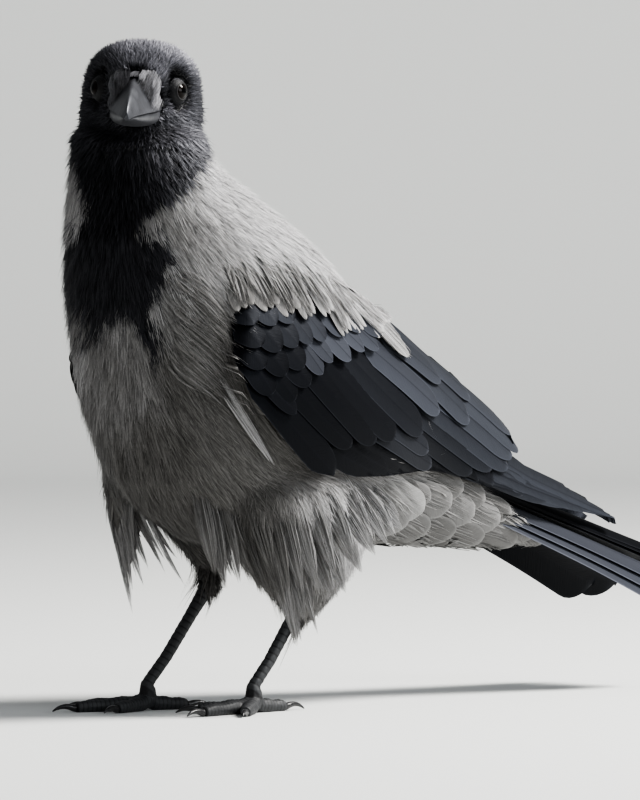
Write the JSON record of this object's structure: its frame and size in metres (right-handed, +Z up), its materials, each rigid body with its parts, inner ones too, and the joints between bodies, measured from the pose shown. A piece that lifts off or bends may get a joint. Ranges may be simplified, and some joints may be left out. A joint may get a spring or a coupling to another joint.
{
  "type": "hooded crow model",
  "caption": "Life-size still model of a hooded crow standing on both feet with its head turned to its left, as a museum shows.",
  "frame": {"origin": "on the floor, at the middle of the box that the bird stands in", "axes": "+Z up; the bird's body faces -Y and its tail points to +Y; +X is the bird's left side"},
  "size_m": [0.1272, 0.4128, 0.3206],
  "materials": {
    "hood_feather": "glossy black contour feathers",
    "ash_feather": "soft ash-grey contour feathers",
    "wing_feather": "black flight feathers with a blue-violet sheen",
    "bill_horn": "dark satin horn",
    "leg_scale": "black scaled skin",
    "claw_horn": "glossy black horn",
    "eye": "wet, very dark brown"
  },
  "bodies": {
    "root": {"bill_lower": "bill_horn", "bill_upper": "bill_horn", "claw_hind_left": "claw_horn", "claw_hind_right": "claw_horn", "claw_inner_left": "claw_horn", "claw_inner_right": "claw_horn", "claw_middle_left": "claw_horn", "claw_middle_right": "claw_horn", "claw_outer_left": "claw_horn", "claw_outer_right": "claw_horn", "eye_left": "eye", "eye_right": "eye", "foot_left": "leg_scale", "foot_right": "leg_scale", "head": "hood_feather", "neck": "hood_feather", "primaries_left": "wing_feather", "primaries_right": "wing_feather", "tail": "wing_feather", "tarsus_left": "leg_scale", "tarsus_right": "leg_scale", "thigh_left": "ash_feather", "thigh_right": "ash_feather", "trunk": "ash_feather", "wing_left": "wing_feather", "wing_right": "wing_feather"}
  },
  "joints": []
}
